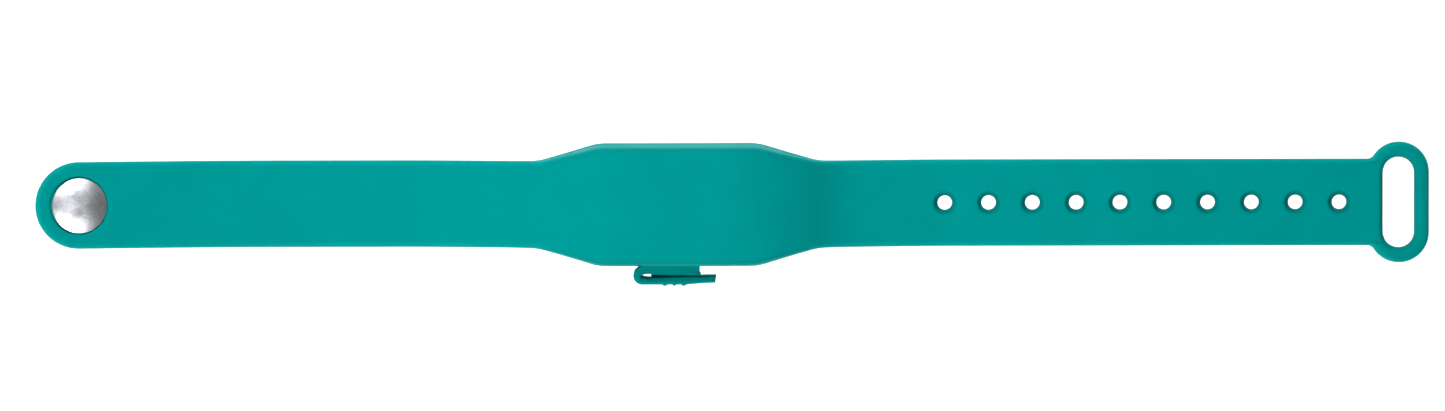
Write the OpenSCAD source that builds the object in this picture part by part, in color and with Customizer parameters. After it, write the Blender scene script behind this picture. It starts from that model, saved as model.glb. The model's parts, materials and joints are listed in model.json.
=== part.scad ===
// Screenless fitness tracker band: a soft silicone band with a tracker core in its pod.
// Frame: X runs along the band towards the loop, Y across it, away from the charging port, and Z up.
// The origin is the middle of the pod's back, where the lens of the tracker core meets the skin.

/* [Strap] */
// Width of the strap
strap_w = 15.6; // [14:0.2:16]
// Thickness of the strap
strap_t = 2.2; // [1.8:0.1:2.4]
// Radius of the strap's long edges
strap_edge_r = 0.9; // [0.4:0.1:0.9]
// Height by which the strap leaves the pod above the table it lies on
strap_drop = 2.9; // [2:0.1:3]
// Distance from the pod's middle to the strap's first bending line
root_x = 31; // [30:0.5:32]

/* [Stud end] */
// Distance from the pod's middle to the stud
stud_x = 107.4; // [104:0.2:110]
// Spacing of the bending lines in this half of the strap
left_step = 13.2; // [12.5:0.1:13.5]
// Diameter of the metal cap
cap_d = 9.9; // [8:0.1:10.4]
// Height of the cap's dome above the strap
dome_h = 1.25; // [0.8:0.05:2]
// Diameter of the neck that sits in an adjustment hole
neck_d = 2.4; // [2:0.1:2.4]
// Diameter of the snap head below the neck
head_d = 3.5; // [3:0.1:4]

/* [Adjustment holes] */
// Distance from the pod's middle to the first hole
hole_first = 47.86; // [46:0.02:49]
// Spacing of the holes
hole_pitch = 7.863; // [7.6:0.001:7.9]
// Diameter of each hole
hole_d = 2.6; // [2.5:0.1:3]
// Diameter of the dish round each hole
dish_d = 4.2; // [3.6:0.1:5]
// Depth of the dish
dish_depth = 0.75; // [0.4:0.05:0.9]

/* [Loop] */
// Distance from the pod's middle to the middle of the loop
loop_x = 129.4; // [129:0.1:130]
// Overall size of the loop along the band
loop_len = 10.8; // [10:0.1:11]
// Overall size of the loop across the band
loop_w = 21.74; // [21:0.02:23]
// Width of the slot along the band
slot_len = 5.7; // [5:0.1:6]
// Length of the slot across the band
slot_w = 16.4; // [16:0.1:16.6]
// Corner radius of the slot
slot_r = 2.2; // [1.5:0.1:2.8]
// Thickness of the loop's ring
loop_t = 2.6; // [2.2:0.1:3]

/* [Pod] */
// Width of the pod
pod_w = 22.2; // [21.8:0.1:24]
// Height of the pod above the table
pod_h = 13; // [12:0.1:13.6]
// Half of the pod's full-width length
plateau_x = 12.9; // [12:0.1:14]
// Distance from the pod's middle to where it has narrowed to the strap
neck_x = 26.6; // [26:0.1:28]
// Silicone over the tracker core
roof_t = 1.4; // [1.2:0.1:1.6]

/* [Tracker core] */
// Length of the core
core_len = 35; // [34:0.5:35]
// Width of the core
core_w = 17.6; // [17:0.1:17.6]
// Corner radius of the core, seen from above
core_r = 5; // [4:0.5:6]
// Wall of the core's shells
core_wall = 1; // [0.8:0.1:1]
// Height of the joint between the two shells
split_z = 2.6; // [2.6:0.1:3]

/* [Charging port] */
// Distance along the band from the pod's middle to the socket's middle
port_x = -1.25; // [-2:0.05:-1]
// Width of the socket's metal shell
socket_w = 7.4; // [7:0.1:7.6]
// Height of the socket's metal shell
socket_h = 2.6; // [2.5:0.1:2.7]
// Height of the flap and its tether
flap_h = 4.8; // [4.4:0.1:5]
// Outer radius of the tether's bend
tether_r = 1.6; // [1.5:0.05:1.7]

/* [Hidden] */

$fn = 64;
silicone = [0.0, 0.6, 0.58];
arc_steps = 6;
profile_step = 1;
hinge_gap = 0.15;        // radial clearance of each bending line
part_gap = 0.15;         // clearance between the core and its pocket, and round the flap's plug
touch_gap = 0.02;        // clearance between pieces that lie on each other
through = 40;            // length of cuts that run right through

// ---- Shape of the whole band --------------------------------------------------------------

droop_from = 24;
droop_to = 50;
lift_from = 70;
lift_to = 90;
lift_slope = 0.142;
bulge_from = 8;
bulge_to = 31;
bulge_knee = 0.72;
belly_from = 16;
belly_to = 28;
shoulder_angle = 17;

function clamp01(u) = min(1, max(0, u));
function smooth(u) = let (v = clamp01(u)) v * v * (3 - 2 * v);

// A ramp from 0 to 1 made of two parabolas that meet at the knee, where it is steepest
function knee_ramp(u, knee) =
    let (v = clamp01(u)) v < knee ? v * v / knee : 1 - (1 - v) * (1 - v) / (1 - knee);

// Height of the strap's middle plane: it droops from the pod to the table, and the stud holds its end up
function droop(x) = strap_drop * (1 - smooth((abs(x) - droop_from) / (droop_to - droop_from)));
function lift(d) =
    d < lift_from ? 0
    : d < lift_to ? lift_slope * pow(d - lift_from, 2) / (2 * (lift_to - lift_from))
    : lift_slope * (d - (lift_from + lift_to) / 2);
function strap_mid(x) = strap_t / 2 + droop(x) + lift(-x);

// Height of the pod's roof and of its back
bulge_h = pod_h - strap_drop - strap_t;
function roof(x) =
    strap_mid(x) + strap_t / 2
    + bulge_h * (1 - knee_ramp((abs(x) - bulge_from) / (bulge_to - bulge_from), bulge_knee));
function belly(x) =
    strap_mid(x) - strap_t / 2 - strap_drop * (1 - smooth((abs(x) - belly_from) / (belly_to - belly_from)));

// Half width of the pod: straight shoulders with a round blend at each end
shoulder_drop = (pod_w - strap_w) / 2;
shoulder_run = neck_x - plateau_x;
shoulder_r = (shoulder_run * tan(shoulder_angle) - shoulder_drop)
    / (2 * (sin(shoulder_angle) * tan(shoulder_angle) + cos(shoulder_angle) - 1));
shoulder_arc = shoulder_r * sin(shoulder_angle);
function half_width(x) =
    let (d = abs(x) - plateau_x)
    d <= 0 ? pod_w / 2
    : d < shoulder_arc ? pod_w / 2 - shoulder_r + sqrt(shoulder_r * shoulder_r - d * d)
    : d < shoulder_run - shoulder_arc
        ? pod_w / 2 - shoulder_r * (1 - cos(shoulder_angle)) - (d - shoulder_arc) * tan(shoulder_angle)
    : d < shoulder_run
        ? strap_w / 2 + shoulder_r - sqrt(shoulder_r * shoulder_r - pow(shoulder_run - d, 2))
    : strap_w / 2;

// Bending lines, as distances from the pod's middle
left_hinges = [for (k = [0:5]) root_x + left_step * k];
loop_hinge = loop_x - slot_len / 2 - strap_t / 2;
right_hinges = concat(
    [root_x],
    [for (k = [0:4]) hole_first + hole_pitch * (2 * k - 0.5)],
    [loop_hinge]
);

// ---- Shared shapes ------------------------------------------------------------------------

function corner(cx, cy, r, a) = [
    for (i = [0:arc_steps]) [cx + r * cos(a + 90 * i / arc_steps), cy + r * sin(a + 90 * i / arc_steps)]
];

// Points of a rectangle with round corners, centred on the origin
function round_rect(w, h, r) = concat(
    corner(w / 2 - r, h / 2 - r, r, 0), corner(r - w / 2, h / 2 - r, r, 90),
    corner(r - w / 2, r - h / 2, r, 180), corner(w / 2 - r, r - h / 2, r, 270)
);

// Points along x from -reach to reach
function stations(reach) = [for (x = [-reach:profile_step:reach]) x];

// An XZ outline, extruded across the band
module across(w) {
    rotate([90, 0, 0]) linear_extrude(w, center = true) children();
}

// A plate with round corners on the z plane
module plate(size, r, z) {
    translate([0, 0, z]) linear_extrude(size[2]) polygon(round_rect(size[0], size[1], r));
}

module block(low, size) {
    translate(low) cube(size);
}

// A box-shaped chip, centred at x, y, that stands on z
module chip(x, y, z, size) {
    translate([x, y, z + size[2] / 2]) cube(size, center = true);
}

// ---- Strap --------------------------------------------------------------------------------

// Puts its children at a bending line, with local X along the strap towards the next one
module along_strap(side, from, to) {
    za = strap_mid(side * from);
    zb = strap_mid(side * to);
    mirror([side < 0 ? 1 : 0, 0, 0])
        translate([from, 0, za]) rotate([0, -atan2(zb - za, to - from), 0]) children();
}

function chord(side, from, to) = norm([to - from, strap_mid(side * to) - strap_mid(side * from)]);

// A length of strap: hollow where it turns on the link before it
module link_body(length, round_end) {
    intersection() {
        across(strap_w) difference() {
            union() {
                translate([0, -strap_t / 2]) square([length, strap_t]);
                if (round_end) translate([length, 0]) circle(d = strap_t);
            }
            circle(r = strap_t / 2 + hinge_gap);
        }
        translate([-strap_t, 0, 0]) rotate([90, 0, 90])
            linear_extrude(length + 2 * strap_t) polygon(round_rect(strap_w, strap_t, strap_edge_r));
    }
}

// An adjustment hole with the shallow dish round it
module strap_hole(x) {
    translate([x, 0, 0]) cylinder(d = hole_d, h = through, center = true);
    translate([x, 0, strap_t / 2 - dish_depth])
        cylinder(d1 = hole_d, d2 = dish_d, h = dish_depth + touch_gap);
}

module left_link(k) {
    from = left_hinges[k];
    to = left_hinges[k + 1];
    color(silicone) along_strap(-1, from, to) link_body(chord(-1, from, to), true);
}

// Links 2 to 6 of this half hold two adjustment holes each
module right_link(k) {
    from = right_hinges[k];
    to = right_hinges[k + 1];
    stretch = chord(1, from, to) / (to - from);
    color(silicone) along_strap(1, from, to) difference() {
        link_body(chord(1, from, to), true);
        if (k > 0) for (i = [2 * k - 2, 2 * k - 1])
            strap_hole((hole_first + hole_pitch * i - from) * stretch);
    }
}

// ---- Stud end -----------------------------------------------------------------------------

tip_from = left_hinges[5];
stud_local = chord(-1, tip_from, stud_x);
cap_rim = 0.5;
cap_seat_gap = 0.1;
shank_d = 3;
flange_d = 6.4;
flange_h = 0.6;
neck_play = 0.7;
neck_len = strap_t + neck_play;
head_h = 0.8;
spigot_d = 1.6;
spigot_len = 0.8;

module strap_left_tip() {
    color(silicone) along_strap(-1, tip_from, stud_x) difference() {
        union() {
            link_body(stud_local, false);
            translate([stud_local, 0, 0]) rotate([0, 0, -90]) rotate_extrude(angle = 180) intersection() {
                polygon(round_rect(strap_w, strap_t, strap_edge_r));
                translate([0, -strap_t]) square([strap_w, 2 * strap_t]);
            }
        }
        translate([stud_local, 0, 0]) {
            cylinder(d = shank_d + 2 * touch_gap, h = through, center = true);
            translate([0, 0, strap_t / 2 - cap_rim]) cylinder(d = cap_d + 2 * cap_seat_gap, h = through);
            translate([0, 0, flange_h - strap_t / 2 - through])
                cylinder(d = flange_d + 2 * cap_seat_gap, h = through);
        }
    }
}

// The domed cap with the hollow shank that goes through the strap
module stud_cap() {
    dome_r = (pow(cap_d / 2, 2) + dome_h * dome_h) / (2 * dome_h);
    color([0.78, 0.79, 0.81]) along_strap(-1, tip_from, stud_x) translate([stud_local, 0, 0]) difference() {
        union() {
            translate([0, 0, strap_t / 2 - cap_rim]) cylinder(d = cap_d, h = cap_rim);
            intersection() {
                translate([0, 0, strap_t / 2 + dome_h - dome_r]) sphere(r = dome_r);
                translate([0, 0, strap_t / 2]) cylinder(d = cap_d, h = dome_h);
            }
            translate([0, 0, flange_h - strap_t / 2 + touch_gap])
                cylinder(d = shank_d, h = strap_t - flange_h - cap_rim);
        }
        translate([0, 0, flange_h - strap_t / 2])
            cylinder(d = spigot_d + 2 * touch_gap, h = spigot_len + touch_gap);
    }
}

// The post behind the strap: flange, neck and snap head, with a spigot pressed into the cap's shank
module stud_post() {
    head_top = -strap_t / 2 - neck_len;
    head_bevel = 0.3;
    color([0.74, 0.75, 0.77]) along_strap(-1, tip_from, stud_x) translate([stud_local, 0, 0]) union() {
        translate([0, 0, -strap_t / 2]) cylinder(d = flange_d, h = flange_h);
        translate([0, 0, flange_h - strap_t / 2]) cylinder(d = spigot_d, h = spigot_len);
        translate([0, 0, head_top]) cylinder(d = neck_d, h = neck_len);
        translate([0, 0, head_top - head_h]) rotate_extrude() polygon([
            [0, 0], [head_d / 2 - head_bevel, 0], [head_d / 2, head_bevel],
            [head_d / 2, head_h - head_bevel], [head_d / 2 - head_bevel, head_h], [0, head_h]
        ]);
    }
}

// ---- Loop ---------------------------------------------------------------------------------

// The ring beyond the last bending line. Its two arms turn beside the strap's round end.
module strap_loop() {
    arm_gap = 0.15;
    mid = strap_mid(loop_x);
    color(silicone) intersection() {
        translate([loop_x, 0, 0]) linear_extrude(loop_t) difference() {
            polygon(round_rect(loop_len, loop_w, loop_len / 2 - touch_gap));
            polygon(round_rect(slot_len, slot_w, slot_r));
            translate([-slot_len / 2, -slot_w / 2]) square([slot_len / 2, slot_w]);
            translate([-loop_len, -strap_w / 2 - arm_gap])
                square([loop_len - slot_len / 2 + hinge_gap, strap_w + 2 * arm_gap]);
        }
        across(2 * loop_w) union() {
            translate([loop_hinge, mid]) circle(d = strap_t);
            translate([loop_hinge, 0]) square([loop_len, loop_t]);
        }
    }
}

// ---- Pod jacket ---------------------------------------------------------------------------

pocket_reach = core_len / 2 + part_gap;
boss_depth = 1.5;
boss_left = -6.45;
boss_right = 4;
port_z = 4.55;
wall_y = -pod_w / 2;
bend_y = wall_y - boss_depth - 0.12;      // height of the tether's bend, out from the pod
plug_left = port_x - 3.6;
plug_right = port_x + 3.4;
plug_h = 2.5;
plug_reach = 2.6;                         // how far the plug goes past the bend's centre
// The plug swings on an arc, so its window is longer at the far side
plug_swing = norm([plug_right - boss_left, plug_reach]);
window_left = plug_left - part_gap;
window_right = boss_left + plug_swing + part_gap;

// The XZ outline of the pod and its two strap stubs, shrunk by inset at the top
module pod_side(reach, inset) {
    xs = stations(reach);
    polygon(concat(
        [for (x = xs) [x, roof(x) - inset]],
        [for (i = [len(xs) - 1:-1:0]) [xs[i], inset > 0 ? -1 : belly(xs[i])]]
    ));
}

module pod_plan() {
    xs = stations(root_x + strap_t);
    polygon(concat(
        [for (x = xs) [x, half_width(x)]],
        [for (i = [len(xs) - 1:-1:0]) [xs[i], -half_width(xs[i])]]
    ));
}

module pod_jacket() {
    color(silicone) difference() {
        union() {
            intersection() {
                across(2 * pod_w) union() {
                    pod_side(root_x, 0);
                    for (side = [-1, 1]) translate([side * root_x, strap_mid(side * root_x)])
                        circle(d = strap_t);
                }
                translate([0, 0, -1]) linear_extrude(pod_h + 2) pod_plan();
            }
            block([boss_left, wall_y - boss_depth, port_z - flap_h / 2], [boss_right - boss_left, 3, flap_h]);
        }
        intersection() {
            across(core_w + 2 * part_gap) pod_side(root_x, roof_t);
            translate([0, 0, -1]) linear_extrude(pod_h)
                polygon(round_rect(2 * pocket_reach, core_w + 2 * part_gap, core_r + part_gap));
        }
        block([window_left, wall_y - through / 2, port_z - plug_h / 2 - part_gap],
            [window_right - window_left, through / 2 + 5, plug_h + 2 * part_gap]);
    }
}

// ---- Port flap ----------------------------------------------------------------------------

tether_in_r = 0.25;
lid_y = bend_y - 0.04;
lid_t = 1.57;
tab_x = 6.7;
tab_from = 2.4;
rib_x = [-2.4, -0.7, 1];
rib_r = 0.32;

// The folded strip that ties the flap to the jacket. It unrolls as the flap swings out.
module flap_tether() {
    color(silicone) translate([boss_left, bend_y, port_z - flap_h / 2]) difference() {
        cylinder(r = tether_r, h = flap_h);
        translate([0, 0, -1]) cylinder(r = tether_in_r, h = flap_h + 2);
        translate([0, -through / 2, -1]) cube([through, through, flap_h + 2]);
    }
}

// The lid with its pull tab and grip ribs, and the plug that closes the port
module port_flap() {
    tab_rise = 0.58;
    tab_t = 1.35;
    color(silicone) union() {
        translate([0, 0, port_z - flap_h / 2]) linear_extrude(flap_h) {
            polygon([
                [boss_left + touch_gap, lid_y], [boss_right, lid_y],
                [tab_x, lid_y - lid_t + tab_rise + tab_t], [tab_x, lid_y - lid_t + tab_rise],
                [tab_from, lid_y - lid_t], [boss_left + touch_gap, lid_y - lid_t]
            ]);
            for (x = rib_x) translate([x, lid_y - lid_t + 0.05]) circle(r = rib_r);
        }
        block([plug_left, lid_y - 0.1, port_z - plug_h / 2],
            [plug_right - plug_left, bend_y + plug_reach - lid_y + 0.1, plug_h]);
    }
}

// ---- Tracker core: shells -----------------------------------------------------------------

floor_t = 1;
screw_spots = [[-14.2, -5.2], [-14.2, 5.2], [14.2, -5.2], [14.2, 5.2]];
screw_d = 1.4;
screw_head_d = 2.4;
screw_head_h = 0.7;
screw_len = 4;
boss_d = 3;
seal_h = 0.5;
seal_w = 0.5;
seal_z = split_z - 0.12;                   // middle of the seal, mostly below the joint
window_size = [8.6, 5.4, floor_t];
window_r = 1.4;
socket_z = port_z - socket_h / 2;
socket_depth = 5.1;
socket_front = -core_w / 2 + core_wall + 0.05;
mouth_seal_w = 0.35;

// The core's outer form, or its inside when shrunk by inset
module core_form(inset) {
    intersection() {
        across(core_w) pod_side(core_len / 2 + 1, roof_t + part_gap + inset);
        translate([0, 0, inset == 0 ? 0 : floor_t]) linear_extrude(pod_h)
            polygon(round_rect(core_len - 2 * inset, core_w - 2 * inset, core_r - inset));
    }
}

module above_split() {
    block([-through, -through, split_z], [2 * through, 2 * through, through]);
}

module at_screws() {
    for (spot = screw_spots) translate([spot[0], spot[1], 0]) children();
}

// A frame that lines the opening in the shell's side wall
module port_tunnel(grow, y, depth) {
    block([port_x - socket_w / 2 - grow, y, socket_z - grow], [socket_w + 2 * grow, depth, socket_h + 2 * grow]);
}

// The seal, or with a gap the groove for it in the two shells
module seal_ring(gap) {
    difference() {
        plate([core_len - core_wall + 2 * gap, core_w - core_wall + 2 * gap, seal_h + 2 * gap],
            core_r - core_wall / 2 + gap, seal_z - seal_h / 2 - gap);
        plate([core_len - core_wall - 2 * seal_w - 2 * gap, core_w - core_wall - 2 * seal_w - 2 * gap, 2 * seal_h],
            core_r - core_wall / 2 - seal_w - gap, seal_z - seal_h);
    }
}

module core_upper_shell() {
    color([0.16, 0.17, 0.18]) difference() {
        union() {
            difference() {
                intersection() {
                    core_form(0);
                    above_split();
                }
                core_form(core_wall);
            }
            intersection() {
                at_screws() translate([0, 0, split_z + 1]) cylinder(d = boss_d, h = through);
                core_form(0);
            }
        }
        at_screws() cylinder(d = screw_d + 2 * touch_gap, h = screw_head_h + screw_len + touch_gap);
        port_tunnel(mouth_seal_w, -core_w, core_w / 2 + core_wall + 0.1);
        seal_ring(touch_gap);
    }
}

module core_lower_shell() {
    color([0.16, 0.17, 0.18]) difference() {
        union() {
            difference() {
                core_form(0);
                core_form(core_wall);
                above_split();
            }
            at_screws() cylinder(d = boss_d, h = split_z - 0.22);
        }
        at_screws() {
            cylinder(d = screw_d + 0.1, h = through);
            translate([0, 0, -1]) cylinder(d = screw_head_d + 0.1, h = screw_head_h + 1);
        }
        plate([window_size[0] + 2 * touch_gap, window_size[1] + 2 * touch_gap, 4], window_r + touch_gap, -1);
        seal_ring(touch_gap);
    }
}

module shell_seal() {
    color([0.75, 0.3, 0.2]) seal_ring(0);
}

// Four countersunk-style pan screws, put in from the back
module shell_screws() {
    recess_d = 0.9;
    color([0.6, 0.6, 0.62]) at_screws() difference() {
        union() {
            translate([0, 0, 0.05]) cylinder(d = screw_head_d, h = screw_head_h - 0.05);
            cylinder(d = screw_d, h = screw_head_h + screw_len);
        }
        translate([0, 0, -1]) cylinder(d = recess_d, h = 1.45, $fn = 6);
    }
}

// ---- Tracker core: board ------------------------------------------------------------------

board_z = split_z - 0.2;
board_t = 0.8;
board_top = board_z + board_t;
on_board = board_top + touch_gap;

module main_board() {
    color([0.05, 0.35, 0.2]) difference() {
        plate([31.6, 14.4, board_t], 3.6, board_z);
        at_screws() cylinder(d = screw_d + 0.4, h = through);
    }
}

module processor_chip() {
    color([0.08, 0.08, 0.09]) chip(-2.2, 3.8, on_board, [4.8, 4.8, 0.8]);
}

module radio_chip() {
    color([0.12, 0.12, 0.13]) chip(-8.6, -3.4, on_board, [3, 3, 0.7]);
}

module motion_sensor_chip() {
    color([0.2, 0.2, 0.21]) chip(1.9, 5, on_board, [2, 2, 0.9]);
}

module memory_chip() {
    color([0.1, 0.1, 0.11]) chip(1.9, 1.9, on_board, [2.4, 2, 0.6]);
}

module charger_chip() {
    color([0.14, 0.14, 0.15]) chip(-2.4, -0.7, on_board, [2, 2, 0.6]);
}

module clock_crystal() {
    color([0.8, 0.8, 0.82]) chip(-6.3, -0.9, on_board, [2, 1.2, 0.6]);
}

// Small capacitors and resistors in two rows
module board_passives() {
    color([0.65, 0.5, 0.35]) {
        for (i = [0:4]) chip(-5.4 + 0.1 + 1.6 * i, 6.75 - 0.05, on_board, [1, 0.5, 0.4]);
        for (i = [0:2]) chip(-5.9, -2.2 - 1.2 * i, on_board, [0.5, 0.9, 0.4]);
    }
}

module chip_antenna() {
    color([0.9, 0.9, 0.86]) chip(-13.8, 0, on_board, [1.2, 5, 0.8]);
}

// ---- Tracker core: battery and motor ------------------------------------------------------

battery_size = [7.9, 13, 6];
battery_x = 4.6;
pad_t = 0.3;

// A foil pouch cell with the fold of its seam at the inner end
module battery_cell() {
    seam = [0.8, 9, 0.6];
    color([0.8, 0.81, 0.83]) union() {
        translate([battery_x + battery_size[0] / 2, 0, 0])
            plate(battery_size, 1, on_board + pad_t + touch_gap);
        block([battery_x - seam[0], -seam[1] / 2, on_board + pad_t + 1.4], [seam[0] + 0.5, seam[1], seam[2]]);
    }
}

module battery_pad() {
    color([0.95, 0.95, 0.9])
        translate([battery_x + battery_size[0] / 2, 0, 0])
        plate([battery_size[0] - 1, battery_size[1] - 4, pad_t], 0.5, on_board);
}

// A pair of wires, each a quarter bend from the board into the side of the cell or the motor
module wire_pair(x, y, spacing, bend_r, wire_d, turn) {
    for (side = [-1, 1]) translate([x, y + side * spacing / 2, on_board + 0.02])
        rotate([90, 0, 0]) rotate([0, 0, turn])
        rotate_extrude(angle = 90) translate([bend_r, 0]) circle(d = wire_d, $fn = 16);
}

module battery_wires() {
    color([0.7, 0.1, 0.1]) wire_pair(battery_x - touch_gap, -1.6, 1.6, 1.3, 0.35, 90);
}

motor_at = [-9, 3.2];
motor_d = 7;

module vibration_motor() {
    motor_h = 2.7;
    color([0.7, 0.71, 0.73]) translate([motor_at[0], motor_at[1], on_board + pad_t]) union() {
        cylinder(d = motor_d, h = motor_h);
        translate([0, 0, -pad_t + touch_gap]) cylinder(d = motor_d - 2, h = pad_t);
    }
}

module motor_wires() {
    color([0.1, 0.2, 0.7]) wire_pair(motor_at[0] + motor_d / 2 + touch_gap, motor_at[1], 0.8, 0.6, 0.3, 0);
}

// ---- Tracker core: charging socket --------------------------------------------------------

module charging_socket() {
    sheet = 0.3;
    color([0.75, 0.76, 0.78]) difference() {
        port_tunnel(0, socket_front, socket_depth);
        port_tunnel(-sheet, socket_front - 1, socket_depth + 1 - sheet);
    }
}

module socket_tongue() {
    tongue = [4.2, 3.6, 0.7];
    base_t = 0.6;
    back = socket_front + socket_depth - 0.3 - touch_gap;
    color([0.1, 0.1, 0.11]) union() {
        block([port_x - tongue[0] / 2, back - base_t - tongue[1], port_z - tongue[2] / 2],
            [tongue[0], tongue[1] + base_t, tongue[2]]);
        block([port_x - socket_w / 2 + 0.4, back - base_t, socket_z + 0.4],
            [socket_w - 0.8, base_t, socket_h - 0.8]);
    }
}

module socket_seal() {
    color([0.12, 0.12, 0.12]) difference() {
        port_tunnel(mouth_seal_w - touch_gap, -core_w / 2, core_wall);
        port_tunnel(-0.1, -core_w / 2 - 1, core_wall + 2);
    }
}

// ---- Tracker core: optical sensor ---------------------------------------------------------

sensor_top = board_z - touch_gap;
sensor_h = 0.9;

module sensor_leds() {
    color([0.3, 0.75, 0.35]) for (side = [-1, 1]) chip(side * 2.9, 0, sensor_top - sensor_h, [1.4, 1.6, sensor_h]);
}

module photodiode() {
    color([0.2, 0.2, 0.3]) chip(0, 0, sensor_top - sensor_h, [2.2, 2.6, sensor_h]);
}

// Keeps the light of the two lamps from reaching the photodiode directly
module light_baffle() {
    base = floor_t + touch_gap;
    height = sensor_top - base;
    color([0.06, 0.06, 0.07]) difference() {
        plate([9.6, 6.2, height], 1.2, base);
        for (x = [-2.9, 0, 2.9]) chip(x, 0, 0, [x == 0 ? 2.5 : 1.8, x == 0 ? 3 : 2.2, 2 * split_z]);
    }
}

module sensor_window() {
    color([0.2, 0.25, 0.28, 0.6]) plate(window_size, window_r, 0);
}

// ---- Assembly -----------------------------------------------------------------------------

pod_jacket();
left_link(0);  // strap_left_1
left_link(1);  // strap_left_2
left_link(2);  // strap_left_3
left_link(3);  // strap_left_4
left_link(4);  // strap_left_5
strap_left_tip();
right_link(0);  // strap_right_1
right_link(1);  // strap_right_2
right_link(2);  // strap_right_3
right_link(3);  // strap_right_4
right_link(4);  // strap_right_5
right_link(5);  // strap_right_6
strap_loop();
flap_tether();
port_flap();
stud_cap();
stud_post();
core_upper_shell();
core_lower_shell();
shell_seal();
shell_screws();
main_board();
processor_chip();
radio_chip();
motion_sensor_chip();
memory_chip();
charger_chip();
clock_crystal();
board_passives();
chip_antenna();
battery_cell();
battery_pad();
battery_wires();
vibration_motor();
motor_wires();
charging_socket();
socket_tongue();
socket_seal();
sensor_leds();
photodiode();
light_baffle();
sensor_window();
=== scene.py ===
import json
import math

import bmesh
import bpy
import numpy as np
from mathutils import Matrix, Vector


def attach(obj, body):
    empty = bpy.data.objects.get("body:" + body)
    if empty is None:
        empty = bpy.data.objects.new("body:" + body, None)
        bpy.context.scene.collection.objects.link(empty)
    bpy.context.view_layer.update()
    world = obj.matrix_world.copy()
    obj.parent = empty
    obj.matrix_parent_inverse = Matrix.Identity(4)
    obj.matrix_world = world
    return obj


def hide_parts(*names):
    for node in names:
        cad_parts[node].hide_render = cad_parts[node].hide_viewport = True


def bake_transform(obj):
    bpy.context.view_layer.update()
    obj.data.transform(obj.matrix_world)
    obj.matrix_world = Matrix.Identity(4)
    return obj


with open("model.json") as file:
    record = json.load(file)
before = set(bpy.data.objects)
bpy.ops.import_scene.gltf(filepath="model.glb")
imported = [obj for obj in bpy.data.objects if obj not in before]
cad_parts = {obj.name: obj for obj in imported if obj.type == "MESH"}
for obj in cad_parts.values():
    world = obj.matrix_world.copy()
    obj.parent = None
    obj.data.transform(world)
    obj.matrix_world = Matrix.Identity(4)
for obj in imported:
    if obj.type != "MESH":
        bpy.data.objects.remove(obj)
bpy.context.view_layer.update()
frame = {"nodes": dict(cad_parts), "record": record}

MM = 0.001

# ---- Shape of the band, in millimetres: the same curves as the CAD model ----------------------

STRAP_W, STRAP_T, DROP = 15.6, 2.2, 2.9
POD_W, POD_H = 22.2, 13.0
PLATEAU, NECK, SHOULDER = 12.9, 26.6, math.radians(17)
HOLE_FIRST, HOLE_PITCH, HOLE_COUNT = 47.86, 7.863, 10
STUD_X, LOOP_X = 107.4, 129.4
DROOP_FROM, DROOP_TO = 24, 50
LIFT_FROM, LIFT_TO, LIFT_SLOPE = 70, 90, 0.142
SLOPE_FROM, SLOPE_RUN, SLOPE_KNEE = 8, 26, 0.635
BELLY_FROM, BELLY_TO = 16, 28


def smooth(u):
    u = min(1.0, max(0.0, u))
    return u * u * (3 - 2 * u)


def mix(a, b, u):
    return a + (b - a) * u


def lift(d):
    """How far the stud's end rises above the flat strap, at d from the middle."""
    if d < LIFT_FROM:
        return 0.0
    if d < LIFT_TO:
        return LIFT_SLOPE * (d - LIFT_FROM) ** 2 / (2 * (LIFT_TO - LIFT_FROM))
    return LIFT_SLOPE * (d - (LIFT_FROM + LIFT_TO) / 2)


def strap_mid(x):
    return STRAP_T / 2 + DROP * (1 - smooth((abs(x) - DROOP_FROM) / (DROOP_TO - DROOP_FROM))) + lift(-x)


def knee(u, k):
    v = min(1.0, max(0.0, u))
    return v * v / k if v < k else 1 - (1 - v) ** 2 / (1 - k)


# The slope runs out a little further along the strap than the CAD links can follow
def roof(x):
    bulge = POD_H - DROP - STRAP_T
    return strap_mid(x) + STRAP_T / 2 + bulge * (1 - knee((abs(x) - SLOPE_FROM) / SLOPE_RUN, SLOPE_KNEE))


def belly(x):
    return strap_mid(x) - STRAP_T / 2 - DROP * (1 - smooth((abs(x) - BELLY_FROM) / (BELLY_TO - BELLY_FROM)))


RUN, FALL = NECK - PLATEAU, (POD_W - STRAP_W) / 2
BLEND_R = (RUN * math.tan(SHOULDER) - FALL) / (
    2 * (math.sin(SHOULDER) * math.tan(SHOULDER) + math.cos(SHOULDER) - 1))
BLEND_ARC = BLEND_R * math.sin(SHOULDER)


def half_width(x):
    d = abs(x) - PLATEAU
    if d <= 0:
        return POD_W / 2
    if d < BLEND_ARC:
        return POD_W / 2 - BLEND_R + math.sqrt(BLEND_R ** 2 - d * d)
    if d < RUN - BLEND_ARC:
        return POD_W / 2 - BLEND_R * (1 - math.cos(SHOULDER)) - (d - BLEND_ARC) * math.tan(SHOULDER)
    if d < RUN:
        return STRAP_W / 2 + BLEND_R - math.sqrt(BLEND_R ** 2 - (RUN - d) ** 2)
    return STRAP_W / 2


# The port's height and the stopper's, the tether's bend, and the loop's rounded corners
PORT_Z, FLAP_H, WALL_Y = 4.55, 4.8, -POD_W / 2
BEND_X, BEND_Y, BEND_R = -6.45, -12.72, 1.6
RING_R, RING_X, RING_Y = 5.4, LOOP_X - 0.05, 10.87 - 5.4


def rim_distance(x, y):
    """How far a point lies in from the band's outline in plan."""
    if y < WALL_Y - 0.15 and abs(x) < PLATEAU:
        if x < BEND_X:
            return BEND_R - math.hypot(x - BEND_X, y - BEND_Y)
        return y - (BEND_Y - BEND_R) if y < BEND_Y else 9.0
    if x < -STUD_X:
        return STRAP_W / 2 - math.hypot(x + STUD_X, y)
    ring = RING_R - math.hypot(x - RING_X, max(0.0, abs(y) - RING_Y))
    if x > RING_X:
        return ring
    return max(half_width(x) - abs(y), ring)


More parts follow.
